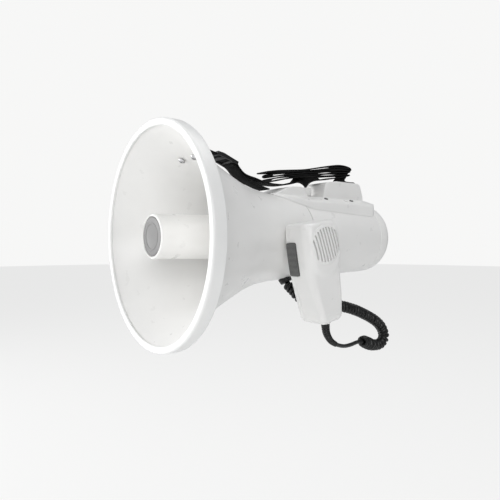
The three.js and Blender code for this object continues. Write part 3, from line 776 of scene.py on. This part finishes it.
class MEGAPHONE_OT_body(bpy.types.Operator):
    """Body shell, round battery cover and control housing with its lamps, knob and switch"""

    bl_idname = "megaphone.body"
    bl_label = "Body"

    def execute(self, context):
        sizes = context.scene.megaphone_sizes
        plastic = MATERIALS["shell_plastic"]
        wall = sizes.wall / MM
        body = turned("body_tube", filleted([
            (50, 181.7, 0.5), (46.9, 308.5, 0.3), (46.9 - wall, 308.5, 0), (50 - wall, 181.7, 0.3),
        ]), sizes.sides)
        window = block("window", (-28, 203, 20), (28, 292, 60))
        settle(carve(body, window), plastic, "housing", "body_shell", slot="shell_plastic", sharp_degrees=30)
        self.cover(sizes, plastic)
        self.controls(plastic)
        return {"FINISHED"}

    def cover(self, sizes, plastic):
        wall = sizes.wall / MM
        steps = 22
        arcs = [k * math.pi / 2 / steps for k in range(steps + 1)]

        def dome(inset):
            return [
                (
                    (DOME_R - inset) * math.cos(a) if a < 1.57 else 0.0,
                    DOME_Y + (DOME_DEPTH - inset) * math.sin(a),
                )
                for a in arcs
            ]

        spigot = [(42, 302.5), (43.9, 302.5), (43.9, 308.8)]
        edge = [(46.5, 308.8), (46.9, 309.2)]
        cover = turned("end_cover", [*spigot, *edge, *dome(0), *dome(wall)[::-1], (42, 311.5)], sizes.sides)
        settle(cover, plastic, "drawer", "battery_cover", slot="shell_plastic", sharp_degrees=30)

    def controls(self, plastic):
        housing = self.housing_shape()
        settle(housing, plastic, "housing", "control_housing", slot="shell_plastic", sharp_degrees=60)
        for i, y in enumerate(LAMP_Y):
            lamp = bar(f"lamp_{i + 1}", 2.5, (0, 0, -1.4), (0, 0, 1.0), 40, shoulder(1, y), (1, 1.5))
            lamp = bevel(lamp, 0.35, 3)
            settle(lamp, MATERIALS["dark_plastic"], "housing", f"lamp_window_{i + 1}", slot="dark_plastic")
        self.knob(plastic)
        switch = block("switch_cap", (-3.6, -4.4, 0.3), (3.6, 4.4, 3), shoulder(-1, SWITCH_Y))
        ribs = [
            block("rib", (-3.2, y - 0.3, 2.6), (3.2, y + 0.3, 3.4), shoulder(-1, SWITCH_Y))
            for y in (-2.4, 0, 2.4)
        ]
        switch = bevel(carve(switch, *ribs, operation="UNION"), 0.25)
        settle(switch, MATERIALS["dark_plastic"], "switch", "mode_switch", slot="dark_plastic")

    def housing_shape(self):
        """The raised housing: blended from three blocks, then cut to sit on the round body."""
        half = [Vector(p) for p in PLINTH_SIDE]
        section = [tuple(p) for p in half] + [(-p.x, p.y) for p in reversed(half[:-1])]
        ends = []
        for y, inset in ((144, 0), (308, 0), (309, 1)):
            ends.append([(x * (1 - inset / 39), y, z - inset) for x, z in section])
        plinth = lofted("control_cover", ends)
        plan = [
            (-19, 144), (19, 144), (31, 166), (39, 198), (39, 299), (34, 309),
            (-34, 309), (-39, 299), (-39, 198), (-31, 166),
        ]
        footprint = lofted("footprint", [[(x, y, z) for x, y in plan] for z in (15, 75)])
        carve(plinth, footprint, operation="INTERSECT")
        blocks = slab("front block", FRONT_BLOCK, 38), slab("rear block", REAR_BLOCK, 40)
        carve(plinth, *blocks, operation="UNION")
        remesh = plinth.modifiers.new("blend", "REMESH")
        remesh.mode = "VOXEL"
        remesh.voxel_size = 0.9 * MM
        soften = plinth.modifiers.new("soften", "SMOOTH")
        soften.factor = 0.5
        soften.iterations = 5
        apply_modifiers(plinth)
        neck_line = offset_line(smooth_line(BELL_LINE[4:], 6), 0)
        envelope = [
            (0, 120), (70, 120), *[(r + 0.25, y) for r, y in neck_line if y >= 120],
            (50.25, 181), (47.15, 308.5), (46.9, 335), (0, 335),
        ]
        tools = [
            turned("round body", envelope, 160),
            block("electronics", (-27, 204, 30), (27, 290, 44.6)),
            block("board tops", (-17, 233, 40), (17, 290, 69)),
            bar("knob hole", 3.4, (0, KNOB_Y, 40), (0, KNOB_Y, 70), 40),
            block("switch slot", (-1.8, -3.4, -8), (1.8, 9.4, 8), shoulder(-1, SWITCH_Y)),
        ]
        tools += [
            bar("lamp seat", 2.8, (0, 0, -1.7), (0, 0, 6), 40, shoulder(1, y), (1, 1.5)) for y in LAMP_Y
        ]
        return carve(plinth, *tools)

    def knob(self, plastic):
        """Fluted control knob with a raised pointer."""
        rings = []
        for radius, z in ((8.7, 52.6), (9.0, 53.2), (9.0, 61.2), (8.4, 62.3), (7.2, 62.6)):
            flute = 0.28 if radius > 8.2 else 0.0
            rings.append([
                (
                    (radius - flute * (k % 4 > 1)) * math.cos(2 * math.pi * k / 96),
                    KNOB_Y + (radius - flute * (k % 4 > 1)) * math.sin(2 * math.pi * k / 96),
                    z,
                )
                for k in range(96)
            ])
        knob = lofted("control_knob", rings)
        pointer = block("pointer", (-0.7, KNOB_Y - 8, 61.6), (0.7, KNOB_Y - 2, 63.2))
        shaft = bar("shaft", 3, (0, KNOB_Y, 44), (0, KNOB_Y, 53), 32)
        carve(knob, pointer, shaft, operation="UNION")
        settle(knob, plastic, "knob", "volume_knob", slot="shell_plastic", sharp_degrees=30)


# ------------------------------------------------------------------ microphone
# (height, half width, front depth) of the microphone between its rounded ends.
MIC_LINE = [
    (-83, 16.6, 35.6), (-72, 18.6, 35.2), (-60, 21.0, 34.4), (-42, 23.9, 32.8), (-30, 24.8, 32.9),
    (-10, 25.6, 33.8), (2, 25.4, 33.3), (8, 24.8, 32.6), (10.4, 24.4, 32.2),
]
MIC_ROUND = (9.0, 5.6)
PARTING = 8.0
GRILLE = {"z": -8.0, "half_width": 19.4, "half_height": 21.4}
PTT_LOW, PTT_HIGH, PTT_BACK, PTT_FRONT = -38.5, -2.5, 3.0, 16.6


def head_bulge(y, z):
    """How far the head swells forward of the handle's own surface."""
    reach = math.hypot(y / 25.5, (z + 8) / 35)
    share = min(1.0, max(0.0, (1.04 - reach) / 0.2))
    return 1.9 * share * share * (3 - 2 * share)


def mic_section(z, half, front, inset, extra=0.0):
    """A rounded rectangle across the microphone: broad front corners, tighter back ones."""
    points = []
    soft = 9.0 if z > -40 else max(6.5, 9.0 - (-40 - z) * 0.08)
    corners = (
        (front - inset, 1, soft, 0), (inset, 1, 4.0, 1), (inset, -1, 4.0, 2), (front - inset, -1, soft, 3),
    )
    wide = half - inset + extra
    for depth, side, radius, quarter in corners:
        radius = max(0.6, radius - inset)
        x = depth - radius if depth > front / 2 else depth + radius
        y = side * (wide - radius)
        for k in range(13):
            angle = (quarter + k / 12) * math.pi / 2
            points.append(Vector((x + radius * math.cos(angle), y + radius * math.sin(angle), z)))
        if quarter == 3 or quarter == 1:
            end = points[-1]
            start_y, stop_y = (end.y, -end.y)
            points += [Vector((end.x, start_y + (stop_y - start_y) * k / 14, z)) for k in range(1, 14)]
    for p in points:
        if p.x > front - inset - 4:
            p.x += head_bulge(p.y, z) * min(1.0, (p.x - (front - inset - 4)) / 4)
    return points


def mic_skin(name, inset=0.0, extra=0.0):
    """The whole outside of the microphone, or the same skin drawn in by inset."""
    line = smooth_line(MIC_LINE, 6)
    rings = []
    steps = 8
    for end, sign, reach in ((line[0], -1, MIC_ROUND[0]), (line[-1], 1, MIC_ROUND[1])):
        caps = []
        for k in range(1, steps + 1):
            angle = k / steps * math.pi / 2
            caps.append(mic_section(
                end.x + sign * (reach - inset) * math.sin(angle), end.y, end.z,
                inset + (reach - 0.4) * (1 - math.cos(angle)), extra,
            ))
        rings.append(caps)
    middle = [mic_section(p.x, p.y, p.z, inset, extra) for p in line]
    return lofted(name, [*rings[0][::-1], *middle, *rings[1]], MIC)


class MEGAPHONE_OT_microphone(bpy.types.Operator):
    """Fist microphone with its grille, talk button, gland and hook"""

    bl_idname = "megaphone.microphone"
    bl_label = "Microphone"

    def execute(self, context):
        plastic = MATERIALS["shell_plastic"]
        for name, node, low, high in (
            ("mic_back", "mic_back_cover", -5, PARTING - 0.12),
            ("mic_front", "mic_front_shell", PARTING + 0.12, 60),
        ):
            half = mic_skin(name)
            carve(half, block("half", (low, -60, -140), (high, 60, 60), MIC), operation="INTERSECT")
            tools = [mic_skin("hollow", 2.2), self.button_opening(), self.round_hole(GLAND_X, GLAND_Y)]
            if node == "mic_front_shell":
                tools.append(self.oval("grille seat", 0.12, 20, 60))
            carve(half, *tools)
            settle(half, plastic, "microphone", node, slot="shell_plastic", sharp_degrees=32)
        self.grille(plastic)
        self.button()
        self.gland(plastic)
        self.hook(plastic)
        return {"FINISHED"}

    def button_opening(self):
        outline = filleted([
            (PTT_BACK, PTT_LOW, 2.6), (PTT_FRONT + 0.5, PTT_LOW, 2.6), (PTT_FRONT + 0.5, PTT_HIGH, 2.6),
            (PTT_BACK, PTT_HIGH, 2.6),
        ], 6)
        return lofted("opening", [[(x, y, z) for x, z in outline] for y in (-40, -14)], MIC)

    def round_hole(self, x, y):
        return bar("gland hole", 5.0, (x, y, -100), (x, y, -84), 40, MIC)

    def oval(self, name, margin, low, high):
        return bar(name, 1.0, (low, 0, GRILLE["z"]), (high, 0, GRILLE["z"]), 96, MIC,
                   (GRILLE["half_width"] + margin, GRILLE["half_height"] + margin))

    def grille(self, plastic):
        """Oval dished grille: a patch of the head's own surface, thickened and slotted."""
        rows, columns = 10, 96
        front, back = [], []
        for i in range(rows + 1):
            share = i / rows
            edge = 0.9 * min(1.0, (1 - share) * 7)
            ring_front, ring_back = [], []
            for k in range(columns):
                angle = 2 * math.pi * k / columns
                y = GRILLE["half_width"] * share * math.cos(angle)
                z = GRILLE["z"] + GRILLE["half_height"] * share * math.sin(angle)
                depth = 34.1 + head_bulge(y, z) - 1.0 * share**2 + edge - 0.2
                ring_front.append((min(depth, 36.4), y, z))
                ring_back.append((30.2, y, z))
            front.append(ring_front)
            back.append(ring_back)
        grille = lofted("grille", [*front[1:], *back[::-1][:-1]], MIC)
        slots = []
        lean = math.radians(12)
        for k in range(-4, 5):
            reach = 18.0 * math.sqrt(1 - (k / 4.9) ** 2)
            turn = Matrix.Translation((0, 0, GRILLE["z"])) @ Matrix.Rotation(lean, 4, "X")
            low, high = (31.2, k * 4.1 - 0.95, -reach), (45, k * 4.1 + 0.95, reach)
            slots.append(block("slot", low, high, MIC @ turn))
        carve(grille, *slots)
        settle(grille, plastic, "microphone", "mic_grille", slot="shell_plastic", sharp_degrees=32)

    def button(self):
        skin = mic_skin("talk_button_cap", 0.0, 1.6)
        outline = filleted([
            (PTT_BACK + 0.4, PTT_LOW + 0.4, 2.1), (PTT_FRONT - 0.4, PTT_LOW + 0.4, 2.1),
            (PTT_FRONT - 0.4, PTT_HIGH - 0.4, 2.1), (PTT_BACK + 0.4, PTT_HIGH - 0.4, 2.1),
        ], 6)
        core = lofted("core", [[(x, y, z) for x, z in outline] for y in (-40, -19)], MIC)
        carve(skin, core, operation="INTERSECT")
        bevel(skin, 0.5, 3, 40)
        settle(skin, MATERIALS["button_plastic"], "talk_button", "ptt_button", slot="dark_plastic")

    def gland(self, plastic):
        gland = turned("gland", filleted([
            (0, 87.4, 0), (4.6, 87.4, 0.3), (4.6, 92.3, 0), (6, 92.3, 0.5), (6, 94.4, 0.7), (0, 94.4, 0),
        ]), 48, MIC @ Matrix.Translation((GLAND_X, GLAND_Y, 0)) @ Matrix.Rotation(-math.pi / 2, 4, "X"))
        settle(gland, plastic, "microphone", "mic_gland", slot="shell_plastic")

    def hook(self, plastic):
        """Keyhole plate on the neck that the stud drops into."""
        place = HORN @ Matrix.Translation((0, STUD_Y, 0))
        hook = block("neck_hook", (55.3, -11, -13), (57.3, 11, 6), place)
        legs = [block("leg", (46, y, -13), (57.3, y + 3, 6), place) for y in (-11, 8)]
        carve(hook, *legs, operation="UNION")
        slot = bar("slot", 3, (50, 0, 0), (60, 0, 0), 32, place)
        opening = block("slot mouth", (50, -3, 0), (60, 3, 9), place)
        neck = turned("neck", [(0, 130), (53.6, 130), (52.7, 138), (51.3, 161), (51.3, 166), (0, 166)], 96)
        carve(hook, slot, opening, neck)
        bevel(hook, 0.4)
        settle(hook, plastic, "housing", "mic_hook", slot="shell_plastic")


# ------------------------------------------------------------------ strap


def strap_route():
    """Centre line of the whole strap as (y, z), bracket to rear anchor, through the folded bundle."""
    front = [
        (66, 86.6), (58, 87.4), (53.6, 87.9), (51.2, 90.4), (53.4, 93.2), (58, 92.6), (72, 89.4), (84, 86.4),
    ]
    middle = [(97.5, 82), (103, 76.4), (109, 71.4), (117, 68.6), (125, 67.2), (138, 64.2), (152, 62.8)]
    lower = [
        (166, 63.0), (178, 64.6), (194, 68.6), (210, 71.6), (226, 73.2), (244, 76.4), (262, 79.0), (282, 83.0),
    ]
    route = [*front, *middle, *lower]
    # Each layer of the fold, rear end to front end: heights at y = 288, 262, 240, 205, 178 and 152.
    layers = (
        (85.2, 82.6, 79.8, 76.4, 71.8, 65.8), (88.6, 86.2, 82.6, 78.2, 74.2, 68.8),
        (90.8, 89.2, 85.4, 80.4, 76.6, 71.8), (93.4, 92.8, 88.8, 82.8, 79.2, 75.0),
    )
    for k, heights in enumerate(layers):
        run = [(y, z) for y, z in zip((288 - k, 262, 240, 205, 178, 151 + k), heights)]
        route += run if k % 2 == 0 else run[::-1]
    route += [
        (150.6, 76.6), (157, 78.6), (178, 81.2), (205, 84.6), (240, 91.6), (262, 95.6), (276, 96.4),
        (288, 95.0), (291.4, 92.4), (288, 89.8), (284, 86.8), (280, 81), (277, 77.2), (281, 75.2),
        (290, 75.0), (298.6, 74.6), (303.8, 66.4), (305.6, 57.6),
    ]
    return route


class MEGAPHONE_OT_strap(bpy.types.Operator):
    """Folded carrying strap with its bracket, buckle, screws and rear anchor"""

    bl_idname = "megaphone.strap"
    bl_label = "Strap"

    def execute(self, context):
        sizes = context.scene.megaphone_sizes
        self.strap(sizes)
        self.tail(sizes)
        self.bracket()
        self.buckle()
        self.anchor()
        return {"FINISHED"}

    def band(self, name, route, sizes, roll_at=lambda y, share: 0.0):
        """A flat band along (y, z) points, with rounded selvedges and cloth coordinates."""
        path = evenly([Vector((0, y, z)) for y, z in route], 1.6)
        width, thick = sizes.strap_width / MM / 2, sizes.strap_thickness / MM / 2
        section = [
            (-width, -0.5 * thick), (-width + 0.8, -thick), (-width / 2, -thick),
            (0, -thick), (width / 2, -thick), (width - 0.8, -thick), (width, -0.5 * thick), (width, 0.5 * thick), (width - 0.8, thick),
            (width / 2, thick), (0, thick), (-width / 2, thick), (-width + 0.8, thick), (-width, 0.5 * thick),
        ]
        rings, cloth, travelled = [], [], 0.0
        for i, here in enumerate(path):
            along = (path[min(i + 1, len(path) - 1)] - path[max(i - 1, 0)]).normalized()
            side = Vector((1, 0, 0))
            up = side.cross(along)
            roll = Matrix.Rotation(roll_at(here.y, i / (len(path) - 1)), 3, along)
            side, up = roll @ side, roll @ up
            rings.append([here + side * a + up * b for a, b in section])
            cloth += [(a * MM, travelled * MM, 0.0) for a, _ in section]
            if i + 1 < len(path):
                travelled += (path[i + 1] - here).length
        band = lofted(name, rings)
        attribute = band.data.attributes.new("cloth", "FLOAT_VECTOR", "POINT")
        attribute.data.foreach_set("vector", [value for point in cloth for value in point])
        return band, travelled * MM

    def strap(self, sizes):
        route = [tuple(p) for p in smooth_line(strap_route(), 6)]

        def roll(y, share):
            return math.pi * min(1.0, max(0.0, (y - 196) / 34)) if 0.1 < share < 0.26 else 0.0

        strap, length = self.band("strap", route, sizes, roll)
        settle(strap, MATERIALS["webbing"], "housing", "strap_front_run", "strap_middle_run", "strap_bundle",
               "strap_rear_run", slot="webbing", sharp_degrees=60)

    def tail(self, sizes):
        free_end = [(93, 80.2), (99, 76.6), (108, 68.2), (116, 64.2), (125, 61.8), (136, 58.4), (146, 56.2)]
        route = [tuple(p) for p in smooth_line(free_end, 8)]
        tail, length = self.band("strap_tail", route, sizes)
        settle(tail, MATERIALS["webbing"], "housing", slot="webbing", sharp_degrees=60)

    def bracket(self):
        base = block("bracket", (-17, -9, -5), (17, 9, 2.6), BRACKET)
        ears = [block("ear", (x, 3.4, 0), (x + 3, 8.6, 11.6), BRACKET) for x in (-14.6, 11.6)]
        rod = bar("rod", 1.7, (-14.5, 5, 9.4), (14.5, 5, 9.4), 32, BRACKET)
        carve(base, *ears, rod, operation="UNION")
        line = offset_line(smooth_line(BELL_LINE[:5], 6), 0.3)
        carve(base, turned("bell outside", [*line, (0, line[-1][1]), (0, line[0][1])], 160))
        bevel(base, 0.4)
        settle(base, MATERIALS["black_plastic"], "housing", "strap_bracket", slot="black_plastic")
        for i, side in enumerate((-1, 1)):
            self.screw(f"cross_screw_{i + 1}", side * SCREW_X, f"bracket_screw_{i + 1}")

    def screw(self, name, x, node):
        """Domed cross-recess screw through the bell wall, its nut on the bracket."""
        place = BRACKET @ Matrix.Translation((x, 0, 0)) @ Matrix.Rotation(math.pi / 2, 4, "X")
        head = [(0.0, -6.9)] + [
            (3.7 * math.sin(a), -4.7 - 2.2 * math.cos(a)) for a in (k * math.pi / 2 / 8 for k in range(1, 9))
        ]
        screw = turned(name, [*head, (1.6, -4.6), (1.6, 4.4), (0, 4.4)], 40, place)
        for a, b in ((1.9, 0.45), (0.45, 1.9)):
            carve(screw, block("recess", (-a, -8, -b), (a, -5.9, b), place))
        nut = bar("nut", 3.0, (0, 2.9, 0), (0, 4.8, 0), 6, place)
        carve(screw, nut, operation="UNION")
        settle(screw, MATERIALS["steel"], "housing", node, slot="steel")

    def buckle(self):
        """Ladder-lock buckle: side rails, two bars and a lifted lip."""
        side_view = [(71.4, 87.4), (72, 91.2), (80, 89.8), (99, 82.4), (97.8, 79), (80, 85.8)]
        buckle = slab("ladder_buckle", side_view, 27)
        for low, high in ((74.5, 79.5), (84, 92)):
            carve(buckle, block("window", (-10.5, low, 70), (10.5, high, 100)))
        bevel(buckle, 0.6)
        settle(buckle, MATERIALS["black_plastic"], "housing", "strap_buckle", slot="black_plastic")

    def anchor(self):
        ears = [block("ear", (x, 303.4, 51.9), (x + 2.4, 308, 57.4)) for x in (-13, 10.6)]
        rod = bar("anchor", 1.3, (-12, 305.4, 55.6), (12, 305.4, 55.6), 32)
        carve(rod, *ears, operation="UNION")
        bevel(rod, 0.4)
        settle(rod, MATERIALS["black_plastic"], "housing", "strap_anchor", slot="black_plastic")


# ------------------------------------------------------------------ inner parts
class MEGAPHONE_OT_inner_parts(bpy.types.Operator):
    """Finishes for the frame parts that keep their own shape"""

    bl_idname = "megaphone.inner_parts"
    bl_label = "Inner parts"

    def execute(self, context):
        for entry in frame["record"]["subparts"]:
            node = frame["nodes"][entry["node"]]
            node.data.materials.clear()
            node.data.materials.append(MATERIALS[entry["material_slot"]])
        return {"FINISHED"}


class MEGAPHONE_OT_finishes(bpy.types.Operator):
    """Plastics, metals, rubber and webbing"""

    bl_idname = "megaphone.finishes"
    bl_label = "Finishes"

    def execute(self, context):
        make_materials(context.scene.megaphone_finish, context.scene.megaphone_sizes)
        return {"FINISHED"}


# ------------------------------------------------------------------ panel and registration
STEPS = (
    MEGAPHONE_OT_stage,
    MEGAPHONE_OT_finishes,
    MEGAPHONE_OT_cord,
    MEGAPHONE_OT_inner_parts,
    MEGAPHONE_OT_horn,
    MEGAPHONE_OT_body,
    MEGAPHONE_OT_microphone,
    MEGAPHONE_OT_strap,
)


class MEGAPHONE_PT_panel(bpy.types.Panel):
    """Sizes, colours and building steps"""

    bl_label = "Megaphone"
    bl_idname = "MEGAPHONE_PT_panel"
    bl_space_type = "VIEW_3D"
    bl_region_type = "UI"
    bl_category = "Megaphone"

    def draw(self, context):
        for group in (context.scene.megaphone_sizes, context.scene.megaphone_finish):
            column = self.layout.column(align=True)
            for key in group.__annotations__:
                column.prop(group, key)
        for step in STEPS:
            self.layout.operator(step.bl_idname)


CLASSES = (MEGAPHONE_PG_finish, MEGAPHONE_PG_sizes, *STEPS, MEGAPHONE_PT_panel)


def register():
    for cls in CLASSES:
        bpy.utils.register_class(cls)
    bpy.types.Scene.megaphone_finish = PointerProperty(type=MEGAPHONE_PG_finish)
    bpy.types.Scene.megaphone_sizes = PointerProperty(type=MEGAPHONE_PG_sizes)


def unregister():
    del bpy.types.Scene.megaphone_sizes
    del bpy.types.Scene.megaphone_finish
    for cls in reversed(CLASSES):
        bpy.utils.unregister_class(cls)


def main():
    register()
    bpy.ops.megaphone.stage()
    bpy.ops.megaphone.finishes()
    bpy.ops.megaphone.cord()
    bpy.ops.megaphone.inner_parts()
    bpy.ops.megaphone.horn()
    bpy.ops.megaphone.body()
    bpy.ops.megaphone.microphone()
    bpy.ops.megaphone.strap()


if __name__ == "__main__":
    main()
